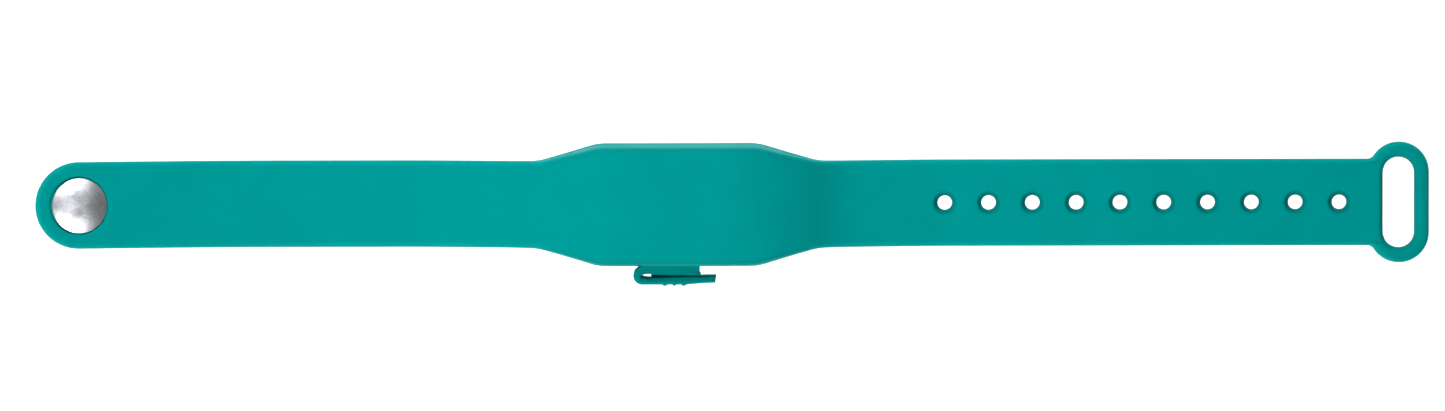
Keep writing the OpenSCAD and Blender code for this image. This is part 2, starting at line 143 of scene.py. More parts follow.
def painted_rim_light_dish_shade(x, y):
    """Painted light on the silicone: 1 for a painted highlight along its rims, 0 for painted shade in the holes'
    dishes, 0.5 elsewhere.
    """
    index = min(HOLE_COUNT - 1, max(0, round((x - HOLE_FIRST) / HOLE_PITCH)))
    # The dish term paints shade into each hole's recess, and the rim term paints a highlight along the outline.
    dish = smooth((2.14 - math.hypot(x - HOLE_FIRST - HOLE_PITCH * index, y)) / 0.36)
    return 0.5 + 0.5 * smooth((1.05 - rim_distance(x, y)) / 0.9) - 0.5 * dish


# ---- Mesh helpers -----------------------------------------------------------------------------


def make(name, verts, faces, material, angle=38, matrix=None):
    """A smooth-shaded mesh object from points in millimetres, with its hard edges marked."""
    mesh = bpy.data.meshes.new(name)
    mesh.from_pydata((np.asarray(verts, float) * MM).tolist(), [], faces)
    bm = bmesh.new()
    bm.from_mesh(mesh)
    bmesh.ops.remove_doubles(bm, verts=bm.verts, dist=2e-7)
    bmesh.ops.dissolve_degenerate(bm, edges=bm.edges, dist=1e-7)
    bmesh.ops.recalc_face_normals(bm, faces=bm.faces)
    bm.to_mesh(mesh)
    bm.free()
    obj = bpy.data.objects.new(name, mesh)
    if matrix is not None:
        obj.matrix_world = matrix
    bpy.context.scene.collection.objects.link(obj)
    obj.data.materials.append(material)
    shade(obj, angle)
    return obj


def shade(obj, angle=38):
    mesh = obj.data
    mesh.polygons.foreach_set("use_smooth", [True] * len(mesh.polygons))
    mesh.set_sharp_from_angle(angle=math.radians(angle))
    # Stores the painted light for each vertex: a painted highlight along the rims and painted shade in the holes'
    # dishes.
    if mesh.materials[0] == SILICONE:
        place = np.empty(len(mesh.vertices) * 3, np.float32)
        mesh.vertices.foreach_get("co", place)
        painted_light_values = [painted_rim_light_dish_shade(x, y) for x, y in place.reshape(-1, 3)[:, :2].astype(float) / MM]
        layer = mesh.attributes.get("painted_rim_light_dish_shade") or mesh.attributes.new("painted_rim_light_dish_shade", "FLOAT", "POINT")
        layer.data.foreach_set("value", np.asarray(painted_light_values, np.float32))
    mesh.update()


def modify(obj, kind, **settings):
    """Adds a modifier and applies it."""
    modifier = obj.modifiers.new(kind, kind)
    for key, value in settings.items():
        setattr(modifier, key, value)
    bpy.context.view_layer.update()
    graph = bpy.context.evaluated_depsgraph_get()
    mesh = bpy.data.meshes.new_from_object(obj.evaluated_get(graph))
    obj.modifiers.clear()
    old, obj.data = obj.data, mesh
    bpy.data.meshes.remove(old)
    return obj


def discard(obj):
    mesh = obj.data
    bpy.data.objects.remove(obj)
    bpy.data.meshes.remove(mesh)


def cut(obj, tool, operation="DIFFERENCE"):
    modify(obj, "BOOLEAN", operation=operation, object=tool, solver="EXACT")
    discard(tool)


def rounded(obj, width, segments=3, angle=35):
    modify(obj, "BEVEL", width=width * MM, segments=segments, limit_method="ANGLE",
           angle_limit=math.radians(angle), use_clamp_overlap=True)
    return obj


def prism(name, outline, low, high, material):
    """An outline in plan, stood up from low to high."""
    n = len(outline)
    verts = [(x, y, low) for x, y in outline] + [(x, y, high) for x, y in outline]
    faces = [tuple(range(n)), tuple(range(n, 2 * n))]
    faces += [(i, (i + 1) % n, (i + 1) % n + n, i + n) for i in range(n)]
    return make(name, verts, faces, material)


def lathe(name, profile, material, segments=96, matrix=None, angle=38):
    """Turns a profile of (radius, height) round Z. Radius 0 closes it."""
    verts, rings, faces = [], [], []
    for r, z in profile:
        if r < 1e-9:
            rings.append([len(verts)] * segments)
            verts.append((0, 0, z))
        else:
            rings.append(list(range(len(verts), len(verts) + segments)))
            turns = [2 * math.pi * k / segments for k in range(segments)]
            verts += [(r * math.cos(t), r * math.sin(t), z) for t in turns]
    for a, b in zip(rings, rings[1:]):
        for k in range(segments):
            face = []
            for v in (a[k], a[(k + 1) % segments], b[(k + 1) % segments], b[k]):
                if v not in face:
                    face.append(v)
            if len(face) > 2:
                faces.append(face)
    return make(name, verts, faces, material, angle, matrix)


# ---- Materials --------------------------------------------------------------------------------


class Nodes:
    """A material under construction: one Principled shader, textured in the object's own space."""

    def __init__(self, name):
        self.material = bpy.data.materials.new(name)
        self.material.use_nodes = True
        self.tree = self.material.node_tree
        self.tree.nodes.clear()
        self.out = self.add("ShaderNodeOutputMaterial")
        self.shader = self.add("ShaderNodeBsdfPrincipled")
        self.link(self.shader.outputs[0], self.out.inputs["Surface"])
        self.place = self.add("ShaderNodeTexCoord").outputs["Object"]

    def add(self, kind, **settings):
        node = self.tree.nodes.new(kind)
        for key, value in settings.items():
            setattr(node, key, value)
        return node

    def link(self, a, b):
        self.tree.links.new(a, b)

    def set(self, **values):
        for key, value in values.items():
            self.shader.inputs[key.replace("_", " ")].default_value = value

    def noise(self, size_mm, detail=2.0, rough=0.5, vector=None):
        node = self.add("ShaderNodeTexNoise")
        node.inputs["Scale"].default_value = 1000.0 / size_mm
        node.inputs["Detail"].default_value = detail
        node.inputs["Roughness"].default_value = rough
        self.link(vector if vector is not None else self.place, node.inputs["Vector"])
        return node.outputs["Fac"]

    def ramp(self, value, stops):
        node = self.add("ShaderNodeValToRGB")
        ramp = node.color_ramp
        while len(ramp.elements) < len(stops):
            ramp.elements.new(0.5)
        for element, (position, colour) in zip(ramp.elements, stops):
            element.position = position
            element.color = (*colour, 1) if len(colour) == 3 else colour
        self.link(value, node.inputs["Fac"])
        return node.outputs["Color"]

    def span(self, value, low, high):
        node = self.add("ShaderNodeMapRange")
        node.inputs["From Min"].default_value = 0.3
        node.inputs["From Max"].default_value = 0.7
        node.inputs["To Min"].default_value = low
        node.inputs["To Max"].default_value = high
        self.link(value, node.inputs["Value"])
        return node.outputs["Result"]

    def bump(self, height, depth_mm, strength=1.0, under=None):
        node = self.add("ShaderNodeBump")
        node.inputs["Strength"].default_value = strength
        node.inputs["Distance"].default_value = depth_mm * MM
        self.link(height, node.inputs["Height"])
        if under is not None:
            self.link(under, node.inputs["Normal"])
        return node.outputs["Normal"]

    def finish(self, normal=None):
        if normal is not None:
            self.link(normal, self.shader.inputs["Normal"])
        return self.material


def plain(name, colour, rough, metallic=0.0, grain=0.12, depth=0.004, spread=0.12, mottle=2.5, coat=0.0):
    """A moulded, painted or metal surface: mottled colour, uneven gloss and a fine grain."""
    n = Nodes(name)
    lighter = tuple(min(1.0, c * (1 + spread) + 0.004) for c in colour)
    darker = tuple(c * (1 - spread) for c in colour)
    n.link(n.ramp(n.noise(mottle, 4), [(0.32, darker), (0.5, colour), (0.68, lighter)]),
           n.shader.inputs["Base Color"])
    n.link(n.span(n.noise(mottle * 0.7, 3), rough * 0.85, min(1, rough * 1.15)), n.shader.inputs["Roughness"])
    n.set(Metallic=metallic, Coat_Weight=coat)
    return n.finish(n.bump(n.noise(grain, 3), depth, 0.6))


def silicone():
    """Matt moulded silicone: one deep colour with a painted highlight along its rims and painted shade in the
    holes' dishes, a fine eroded grain, and a faint bloom.
    """
    n = Nodes("band_silicone")
    base = (0.0, 0.197, 0.187)
    cloud = n.noise(9.0, 5, 0.55)
    body = n.ramp(cloud, [(0.30, tuple(c * 0.965 for c in base)), (0.5, base),
                          (0.70, (0.0, base[1] * 1.03, base[2] * 1.035))])
    # Painted light: the rims are lighter as a painted highlight, and the hole dishes darker as painted shade.
    painted_light_ramp = n.ramp(n.add("ShaderNodeAttribute", attribute_name="painted_rim_light_dish_shade").outputs["Fac"],
                    [(0.0, (0.60, 0.60, 0.60)), (0.5, (0.76, 0.76, 0.76)), (1.0, (1.0, 1.0, 0.985))])
    product = n.add("ShaderNodeMix", data_type="RGBA", blend_type="MULTIPLY")
    product.inputs[0].default_value = 1.0
    n.link(body, product.inputs[6])
    n.link(painted_light_ramp, product.inputs[7])
    n.link(product.outputs[2], n.shader.inputs["Base Color"])
    n.link(n.span(n.noise(3.0, 4), 0.50, 0.60), n.shader.inputs["Roughness"])
    n.set(IOR=1.41, Specular_IOR_Level=0.05, Sheen_Weight=0.35, Sheen_Roughness=0.2)
    n.shader.inputs["Specular Tint"].default_value = (0.0, 1.0, 0.97, 1)
    n.shader.inputs["Sheen Tint"].default_value = (0.0, 1.0, 0.97, 1)
    fine = n.bump(n.noise(0.11, 2, 0.6), 0.004, 0.5)
    soft = n.bump(n.noise(1.1, 3), 0.010, 0.35, fine)
    return n.finish(soft)


def spun_steel():
    """Satin steel turned on a lathe: fine rings round the object's own Z axis."""
    n = Nodes("stud_steel")
    apart = n.add("ShaderNodeSeparateXYZ")
    n.link(n.place, apart.inputs[0])
    angle = n.add("ShaderNodeMath", operation="ARCTAN2")
    n.link(apart.outputs[1], angle.inputs[0])
    n.link(apart.outputs[0], angle.inputs[1])
    radius = n.add("ShaderNodeVectorMath", operation="LENGTH")
    n.link(n.place, radius.inputs[0])
    around = n.add("ShaderNodeMath", operation="MULTIPLY")
    around.inputs[1].default_value = 0.0006
    n.link(angle.outputs[0], around.inputs[0])
    polar = n.add("ShaderNodeCombineXYZ")
    n.link(radius.outputs["Value"], polar.inputs[0])
    n.link(around.outputs[0], polar.inputs[1])
    rings = n.noise(0.2, 4, 0.7, polar.outputs[0])
    specks = n.noise(0.3, 3, 0.6)
    n.link(n.ramp(rings, [(0.32, (0.45, 0.46, 0.50)), (0.5, (0.58, 0.59, 0.625)),
                          (0.68, (0.70, 0.705, 0.73))]),
           n.shader.inputs["Base Color"])
    n.link(n.span(specks, 0.32, 0.48), n.shader.inputs["Roughness"])
    n.set(Metallic=1.0, Anisotropic=0.3)
    tangent = n.add("ShaderNodeTangent", direction_type="RADIAL", axis="Z")
    n.link(tangent.outputs[0], n.shader.inputs["Tangent"])
    normal = n.bump(rings, 0.008, 0.6)
    return n.finish(n.bump(specks, 0.02, 0.6, normal))


def board():
    """Green solder mask over copper tracks."""
    n = Nodes("board_laminate")
    tracks = n.add("ShaderNodeTexBrick")
    tracks.inputs["Scale"].default_value = 900
    tracks.inputs["Mortar Size"].default_value = 0.05
    tracks.inputs["Color1"].default_value = (0.012, 0.115, 0.05, 1)
    tracks.inputs["Color2"].default_value = (0.016, 0.145, 0.065, 1)
    tracks.inputs["Mortar"].default_value = (0.03, 0.23, 0.1, 1)
    n.link(n.place, tracks.inputs["Vector"])
    n.link(tracks.outputs["Color"], n.shader.inputs["Base Color"])
    n.link(n.span(n.noise(1.2, 3), 0.28, 0.4), n.shader.inputs["Roughness"])
    n.set(Coat_Weight=0.3)
    return n.finish(n.bump(tracks.outputs["Fac"], 0.02, 0.5))


def smoked_glass():
    n = Nodes("window_plastic")
    n.link(n.ramp(n.noise(2.0, 3), [(0.3, (0.03, 0.045, 0.05)), (0.7, (0.045, 0.06, 0.066))]),
           n.shader.inputs["Base Color"])
    n.link(n.span(n.noise(1.5, 3), 0.06, 0.14), n.shader.inputs["Roughness"])
    n.set(Transmission_Weight=0.55, IOR=1.5, Coat_Weight=0.4)
    return n.finish(n.bump(n.noise(0.6, 2), 0.001, 0.3))


def foil():
    n = Nodes("cell_foil")
    n.link(n.ramp(n.noise(1.4, 4), [(0.3, (0.5, 0.51, 0.53)), (0.7, (0.68, 0.69, 0.71))]),
           n.shader.inputs["Base Color"])
    n.link(n.span(n.noise(0.8, 3), 0.26, 0.42), n.shader.inputs["Roughness"])
    n.set(Metallic=0.9)
    return n.finish(n.bump(n.noise(0.9, 4, 0.6), 0.05, 0.5))


MATERIALS = {
    "band_silicone": silicone(),
    "stud_steel": spun_steel(),
    "shell_plastic": plain("shell_plastic", (0.018, 0.02, 0.022), 0.5, spread=0.15, depth=0.008),
    "seal_rubber": plain("seal_rubber", (0.32, 0.05, 0.025), 0.6),
    "screw_steel": plain("screw_steel", (0.5, 0.5, 0.52), 0.32, 1.0, grain=0.2),
    "board_laminate": board(),
    "chip_resin": plain("chip_resin", (0.02, 0.02, 0.022), 0.55, grain=0.08, depth=0.006),
    "crystal_can": plain("crystal_can", (0.62, 0.63, 0.65), 0.28, 1.0),
    "passive_ceramic": plain("passive_ceramic", (0.3, 0.18, 0.1), 0.6),
    "antenna_ceramic": plain("antenna_ceramic", (0.74, 0.72, 0.66), 0.55),
    "cell_foil": foil(),
    "foam_pad": plain("foam_pad", (0.72, 0.72, 0.66), 0.9, grain=0.3, depth=0.05),
    "battery_wire": plain("battery_wire", (0.4, 0.012, 0.012), 0.45),
    "motor_can": plain("motor_can", (0.55, 0.56, 0.58), 0.3, 1.0, grain=0.25),
    "motor_wire": plain("motor_wire", (0.012, 0.03, 0.34), 0.45),
    "socket_steel": plain("socket_steel", (0.72, 0.73, 0.75), 0.18, 1.0, grain=0.3),
    "tongue_plastic": plain("tongue_plastic", (0.015, 0.015, 0.017), 0.45),
    "mouth_rubber": plain("mouth_rubber", (0.02, 0.02, 0.02), 0.7),
    "lamp_lens": plain("lamp_lens", (0.12, 0.5, 0.16), 0.15, coat=0.5),
    "sensor_silicon": plain("sensor_silicon", (0.015, 0.015, 0.04), 0.12, coat=0.5),
    "baffle_foam": plain("baffle_foam", (0.01, 0.01, 0.01), 0.9, grain=0.25, depth=0.03),
    "window_plastic": smoked_glass(),
}
SILICONE = MATERIALS["band_silicone"]

for entry in frame["record"]["subparts"]:
    solid = frame["nodes"][entry["node"]]
    material = MATERIALS[entry["material_slot"]]
    if not solid.material_slots:
        solid.data.materials.append(material)
    for slot in solid.material_slots:
        slot.material = material

# ---- The band's section -----------------------------------------------------------------------

# Lines along the flat top and back. The fine ones in the middle hold the adjustment holes, each in
# a square patch of CELLS by CELLS, which reaches REACH from the hole's middle.
FINE, REACH, FLAT, CELLS = 0.35, 2.8, 6.85, 16
COARSE = [3.5, 4.2, 5.0, 5.9, FLAT]
LINES = [-y for y in reversed(COARSE)] + [-REACH + FINE * k for k in range(CELLS + 1)] + COARSE
ARC = 7
EDGE_R, POD_EDGE_R, POD_FOOT_R, POD_DRAFT = 0.95, 1.35, 1.2, 0.05


def line_at(y, flat):
    if abs(y) <= REACH:
        return y
    return math.copysign(REACH + (abs(y) - REACH) * (flat - REACH) / (FLAT - REACH), y)


def edge_profile(height, r_top, r_low, step, seam, across=None, lean=(0, 0)):
    """(depth in from the side, height) down an edge: round top, wall with a moulding seam, round foot."""
    a_top, a_low = (r_top, r_low) if across is None else (across, across)
    top, low = height - r_top, r_low
    seam = min(max(seam, low), top)
    room_up, room_down = min(0.2, (top - seam) * 0.8), min(0.2, (seam - low) * 0.8)
    points = []
    for k in range(ARC + 1):
        t = math.radians(90 * k / ARC)
        points.append([a_top * (1 - math.sin(t)), top + r_top * math.cos(t)])
    points += [[0, seam + room_up], [0, seam + room_up * 0.4], [0, seam - room_down * 0.4], [0, seam - room_down]]
    for k in range(ARC + 1):
        t = math.radians(90 * k / ARC)
        points.append([a_low * (1 - math.cos(t)), low - r_low * math.sin(t)])
    for p in points:
        if p[1] > seam + room_up * 0.5:
            p[0] += step + lean[0] * (p[1] - seam) / max(1e-6, height - seam)
        elif p[1] < seam - room_down * 0.5:
            p[0] += step * 0.35 + lean[1] * (seam - p[1]) / max(1e-6, seam)
    return points


def pod_share(x):
    return smooth((NECK + 0.5 - abs(x)) / 12)


def section(x):
    """The closed outline of the band at x: flat top, +Y edge, flat back, -Y edge."""
    share = pod_share(x)
    top, low, h = roof(x), belly(x), half_width(x) - POD_DRAFT * share
    height = top - low
    r_top, r_low = mix(EDGE_R, POD_EDGE_R, share), mix(EDGE_R, POD_FOOT_R, share)
    step = mix(0.02, 0.12, share)
    seam = mix(height / 2, height * 0.45, share)
    edge = edge_profile(height, r_top, r_low, step, seam, lean=(0.45 * share, 0.34 * share))
    flat_top, flat_low = h - edge[0][0], h - edge[-1][0]
    points = [(line_at(y, flat_top), top) for y in LINES]
    points += [(h - d, low + z) for d, z in edge[1:-1]]
    points += [(line_at(y, flat_low), low) for y in reversed(LINES)]
    points += [(d - h, low + z) for d, z in reversed(edge[1:-1])]
    return points


N_LINES = len(LINES)
N_EDGE = 2 * (ARC + 1) + 4 - 2
N_RING = 2 * (N_LINES + N_EDGE)

# (radius, depth below the top) of an adjustment hole's dish, and its bore down to the back
DISH = [(2.58, 0), (2.42, 0.004), (2.28, 0.012), (2.15, 0.035), (2.05, 0.085), (1.96, 0.17),
        (1.86, 0.30), (1.75, 0.45), (1.64, 0.59), (1.53, 0.72), (1.43, 0.83), (1.35, 0.91),
        (1.3, 0.98), (1.3, 1.2), (1.3, 1.6), (1.3, 2.02)]
FOOT = [(1.33, 0.09), (1.40, 0.03), (1.5, 0.0), (1.9, 0.0)]


class Loft:
    """Sections along x, with holes through the middle of the strap where asked."""

    def __init__(self, xs, holes=()):
        self.xs = xs
        self.verts = [(x, y, z) for x in xs for y, z in section(x)]
        self.faces = []
        first = (N_LINES - CELLS) // 2
        skip = set()
        for hole in holes:
            i0 = min(range(len(xs)), key=lambda i: abs(xs[i] - (hole - REACH)))
            for i in range(i0, i0 + CELLS):
                for j in range(first, first + CELLS):
                    skip.add((i, j))
                    skip.add((i, N_LINES + N_EDGE + (N_LINES - 2 - j)))
            self.hole(hole, i0, first)
        for i in range(len(xs) - 1):
            for j in range(N_RING):
                if (i, j) not in skip:
                    k = (j + 1) % N_RING
                    self.faces.append((self.at(i, j), self.at(i + 1, j), self.at(i + 1, k), self.at(i, k)))

    def at(self, i, j):
        return i * N_RING + j

    def hole(self, hole, i0, j0):
        """Joins the patch's square rim, on the top and on the back, by rings down the hole."""
        side, half = range(CELLS), CELLS // 2
        walk = [(CELLS, half + k) for k in range(half)] + [(CELLS - k, CELLS) for k in side]
        walk += [(0, CELLS - k) for k in side] + [(k, 0) for k in side] + [(CELLS, k) for k in range(half)]
        count = len(walk)
        back = N_LINES + N_EDGE + N_LINES - 1
        ring = [self.at(i0 + a, j0 + b) for a, b in walk]
        last = [self.at(i0 + a, back - (j0 + b)) for a, b in walk]
        rings = [ring]
        for r, depth in DISH + FOOT:
            start = len(self.verts)
            for m in range(count):
                t = 2 * math.pi * m / count
                x, y = hole + r * math.cos(t), r * math.sin(t)
                z = belly(x) + depth if (r, depth) in FOOT else roof(x) - depth
                self.verts.append((x, y, z))
            rings.append(list(range(start, start + count)))
        rings.append(last)
        for a, b in zip(rings, rings[1:]):
            for m in range(count):
                n = (m + 1) % count
                self.faces.append((a[m], a[n], b[n], b[m]))

    def cap(self, i):
        self.faces.append(tuple(self.at(i, j) for j in range(N_RING)))


def steps(a, b, size):
    count = max(1, round(abs(b - a) / size))
    return [mix(a, b, k / count) for k in range(count + 1)]


def right_stations(a, b):
    """Stations from a to b that hold each hole's square patch of fine cells."""
    marks = [HOLE_FIRST + HOLE_PITCH * k for k in range(HOLE_COUNT)]
    xs, here = [a], a
    for m in marks:
        if a <= m - REACH and m + REACH <= b + 1e-6:
            if m - REACH - here > 1e-6:
                xs += steps(here, m - REACH, 0.4)[1:]
            xs += [m - REACH + FINE * k for k in range(1, CELLS + 1)]
            here = m + REACH
    if b - here > 1e-6:
        xs += steps(here, b, 0.4)[1:]
    return xs, [m for m in marks if a <= m - REACH and m + REACH <= b + 1e-6]


# ---- A strap end that opens round something: the loop's slot, or the stud's seat ---------------


class Ending:
    """Carries the strap's last section round an inner outline. Works in (u, y), with u away from the pod."""

    def __init__(self, sign, cut_u, outer, inner, facing, field, flat_cells):
        # outer: [(point, inward normal, profile)] from the strap's +Y edge round to its -Y edge
        # inner: the inner outline's (point, normal into the silicone, chain) for each outer column
        # facing: the same for each line of the strap's flat top, from +Y to -Y
        self.sign, self.verts, self.faces, self.memo = sign, [], [], {}
        columns, plain_columns = [], []
        for (o, n, edge), (p, q, chain) in zip(outer, inner):
            columns.append(self.column(o, n, edge, p, q, chain, flat_cells, field))
        for y, (p, q, chain) in zip(reversed(LINES), facing):
            start = ((cut_u, y), (0, 0), None)
            plain_columns.append(self.column(*start, p, q, chain, flat_cells, field))
        for a, b in zip(columns, columns[1:]):
            self.join(a, b, closed=True)
        for a, b in zip(plain_columns, plain_columns[1:]):
            self.join(b, a, closed=False)

    def vertex(self, u, y, z):
        key = (round(u, 5), round(y, 5), round(z, 5))
        if key not in self.memo:
            self.memo[key] = len(self.verts)
            self.verts.append((self.sign * u, y, z))
        return self.memo[key]

    def column(self, o, n, edge, p, q, chain, cells, field):
        """Vertex rows: top flat, inner chain, back flat, and the edge if there is one."""
        top_in, low_in = chain[0], chain[-1]
        a_top = (o[0] + n[0] * edge[0][0], o[1] + n[1] * edge[0][0]) if edge else o
        a_low = (o[0] + n[0] * edge[-1][0], o[1] + n[1] * edge[-1][0]) if edge else o
        b_top = (p[0] + q[0] * top_in[0], p[1] + q[1] * top_in[0])
        b_low = (p[0] + q[0] * low_in[0], p[1] + q[1] * low_in[0])
        rows = []
        for k in range(cells + 1):
            u, y = (mix(a_top[i], b_top[i], k / cells) for i in (0, 1))
            rows.append(self.vertex(u, y, field(u)[1]))
        for e, z in chain[1:-1]:
            u, y = p[0] + q[0] * e, p[1] + q[1] * e
            low, high = field(u)
            rows.append(self.vertex(u, y, z(low, high)))
        for k in range(cells, -1, -1):
            u, y = (mix(a_low[i], b_low[i], k / cells) for i in (0, 1))
            rows.append(self.vertex(u, y, field(u)[0]))
        if edge:
            for d, z in reversed(edge[1:-1]):
                u, y = o[0] + n[0] * d, o[1] + n[1] * d
                rows.append(self.vertex(u, y, field(u)[0] + z))
        return rows

    def join(self, a, b, closed):
        count = len(a)
        for k in range(count if closed else count - 1):
            m = (k + 1) % count
            face = []
            for v in (a[k], a[m], b[m], b[k]):
                if v not in face:
                    face.append(v)
            if len(face) > 2:
                self.faces.append(tuple(face))


def arc_points(cx, cy, r, start, stop, count, inward):
    """(point, normal) along an arc in plan, angles in degrees. inward points to the centre, else away."""
    found = []
    for k in range(count + 1):
        t = math.radians(mix(start, stop, k / count))
        c, s = math.cos(t), math.sin(t)
        found.append(((cx + r * c, cy + r * s), (-c, -s) if inward else (c, s)))
    return found


def mirrored(path):
    """The path, then its mirror image in y, running on round the end."""
    return path + [((x, -y), (nx, -ny)) for (x, y), (nx, ny) in reversed(path[:-1])]


def loop_end(cut_u):
    outer_r, outer_y, ring_x = RING_R, RING_Y, RING_X
    slot_r, slot_half, slot_x, fillet = 2.79, 8.1, LOOP_X - 0.15, 1.4
    slot_y = slot_half - slot_r
    reach = math.sqrt((outer_r + fillet) ** 2 - (STRAP_W / 2 + fillet - outer_y) ** 2)
    start_u = ring_x - reach
    lean = math.degrees(math.atan2(STRAP_W / 2 + fillet - outer_y, -reach))

    path = [((u, STRAP_W / 2), (0, -1)) for u in steps(cut_u, start_u, 0.4)]
    bend = arc_points(start_u, STRAP_W / 2 + fillet, fillet, -90, lean - 180, 8, False)
    path += bend[1:]
    joined = len(path)
    path += arc_points(ring_x, outer_y, outer_r, lean, 90, 14, True)[1:]
    crown = len(path)
    path += arc_points(ring_x, outer_y, outer_r, 90, 0, 24, True)[1:]
    path += [((ring_x + outer_r, mix(outer_y, 0, k / 10)), (-1, 0)) for k in range(1, 11)]
    total = len(path)
    outside = mirrored(path)

    inside = arc_points(slot_x, slot_y, slot_r, 150, 135, joined - 1, False)
    inside += arc_points(slot_x, slot_y, slot_r, 135, 90, crown - joined, False)[1:]
    inside += arc_points(slot_x, slot_y, slot_r, 90, 0, 24, False)[1:]
    inside += [((slot_x + slot_r, mix(slot_y, 0, k / 10)), (1, 0)) for k in range(1, 11)]
    inside = mirrored(inside)

    def share(point):
        return smooth((point[0] - 122.5) / 4.5)

    def field(u):
        return 0.0, STRAP_T + 0.4 * smooth((u - 121.6) / 5.5)

    def rim(point, reach_in):
        """The slot's round edge, as steps of (distance in, height between the back and the top)."""

        def between(f):
            return lambda lo, hi: (lo + hi) / 2 + f * (hi - lo) / 2

        w = share(point)
        height = field(point[0])[1]
        half, across = height / 2, min(reach_in, mix(0.95, 1.15, w))
        straight = mix(0.15, 0.06, w)
        chain = [(across, None)]
        for k in range(1, ARC + 1):
            t = math.radians(90 * k / ARC)
            rise = (half - straight) * math.cos(t) + straight
            chain.append((across * (1 - math.sin(t)), between(rise / half)))
        for k in range(ARC):
            t = math.radians(90 * k / ARC)
            fall = (half - straight) * math.sin(t) + straight
            chain.append((across * (1 - math.cos(t)), between(-fall / half)))
        chain.append((across, None))
        return chain

    outer, inner = [], []
    for (o, n), (p, q) in zip(outside, inside):
        w = share(o)
        height = field(o[0])[1]
        radius = mix(0.95, height / 2 - 0.06, w)
        edge = edge_profile(height, radius, radius, mix(0.02, 0.0, w), height / 2, mix(0.95, 1.2, w))
        outer.append((o, n, edge))
        inner.append((p, q, rim(p, 1.15)))

    side = arc_points(slot_x, slot_y, slot_r, 150, 180, 6, False)
    arc_len = slot_r * math.radians(30)
    length = 2 * arc_len + 2 * slot_y
    facing = []
    for y in reversed(LINES):
        s = (FLAT - y) / (2 * FLAT) * length
        if s < arc_len or s > length - arc_len:
            turn = 150 + math.degrees((s if s < arc_len else s - length) / slot_r)
            if s > length - arc_len:
                turn = 210 + math.degrees((s - length) / slot_r)
            t, cy = math.radians(turn), slot_y if s < arc_len else -slot_y
            p, q = (slot_x + slot_r * math.cos(t), cy + slot_r * math.sin(t)), (math.cos(t), math.sin(t))
        else:
            p, q = (slot_x - slot_r, slot_y - (s - arc_len)), (-1, 0)
        facing.append((p, q, rim(p, 0.95)))
    return Ending(1, cut_u, outer, inner, facing, field, 8)


def stud_end(cut_u):
    """The strap's round end, with a seat for the cap in front and for the post's flange behind."""
    half = STRAP_W / 2
    seat, flange, bore = 5.17, 3.3, 1.53

    path = [((u, half), (0, -1)) for u in steps(cut_u, STUD_X, 0.5)]
    corner = len(path)
    path += arc_points(STUD_X, 0, half, 90, 0, 30, True)[1:]
    outside = mirrored(path)
    inside = arc_points(STUD_X, 0, seat, 120, 90, corner - 1, False)
    inside += arc_points(STUD_X, 0, seat, 90, 0, 30, False)[1:]
    inside = mirrored(inside)

    def field(u):
        middle = strap_mid(-u)
        return middle - STRAP_T / 2, middle + STRAP_T / 2

    chain = [(0.26, None)]
    for e, depth in ((0.17, 0.02), (0.08, 0.07), (0.02, 0.15), (0, 0.25), (0, 0.53)):
        chain.append((e, lambda lo, hi, d=depth: hi - d))
    chain.append((bore - seat, lambda lo, hi: hi - 0.53))
    chain.append((bore - seat, lambda lo, hi: lo + 0.62))
    for e, rise in ((flange - seat, 0.62), (flange - seat, 0.2), (flange - seat + 0.06, 0.06)):
        chain.append((e, lambda lo, hi, d=rise: lo + d))
    chain.append((flange - seat + 0.2, None))

    outer, inner = [], []
    for (o, n), (p, q) in zip(outside, inside):
        outer.append((o, n, edge_profile(STRAP_T, 0.95, 0.95, 0.02, STRAP_T / 2)))
        inner.append((p, q, chain))
    facing = []
    for y in reversed(LINES):
        t = math.radians(180 - 60 * y / FLAT)
        facing.append(((STUD_X + seat * math.cos(t), seat * math.sin(t)), (math.cos(t), math.sin(t)), chain))
    return Ending(-1, cut_u, outer, inner, facing, field, 8)


# ---- Strap pieces: each spans one bending line ------------------------------------------------


def strap_piece(name, xs, nodes, holes=()):
    loft = Loft(xs, holes)
    loft.cap(0)
    loft.cap(len(xs) - 1)
    obj = make(name, loft.verts, loft.faces, SILICONE)
    return bend_over(obj, nodes)


def bend_over(obj, nodes):
    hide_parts(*nodes)
    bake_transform(obj)
    return obj


JACKET_END = 27.5
LEFT_HINGES = [31 + 13.2 * k for k in range(6)]
LEFT_SEAMS = [JACKET_END, 37.6, 50.8, 64.0, 77.2, 90.4]
RIGHT_SEAMS = [JACKET_END, 37.46] + [HOLE_FIRST + HOLE_PITCH * (2 * k + 0.5) for k in range(4)] + [114.7]
STATION = 0.45

for k in range(5):
    strap_piece(
        f"strap_left_{k + 1}_skin", steps(-LEFT_SEAMS[k], -LEFT_SEAMS[k + 1], STATION),
        [f"strap_left_{k + 1}"])

for k in range(6):
    xs, holes = right_stations(RIGHT_SEAMS[k], RIGHT_SEAMS[k + 1])
    strap_piece(
        f"strap_right_{k + 1}_skin", xs,
        [f"strap_right_{k + 1}"], holes)

# The end with the stud
CUT_LEFT = 99.9
run = Loft(steps(-LEFT_SEAMS[5], -CUT_LEFT, STATION))
run.cap(0)
tip = stud_end(CUT_LEFT)
offset = len(run.verts)
tip_skin = make("strap_left_tip_skin", run.verts + tip.verts,
                run.faces + [tuple(v + offset for v in f) for f in tip.faces], SILICONE)
bend_over(tip_skin, ["strap_left_tip"])

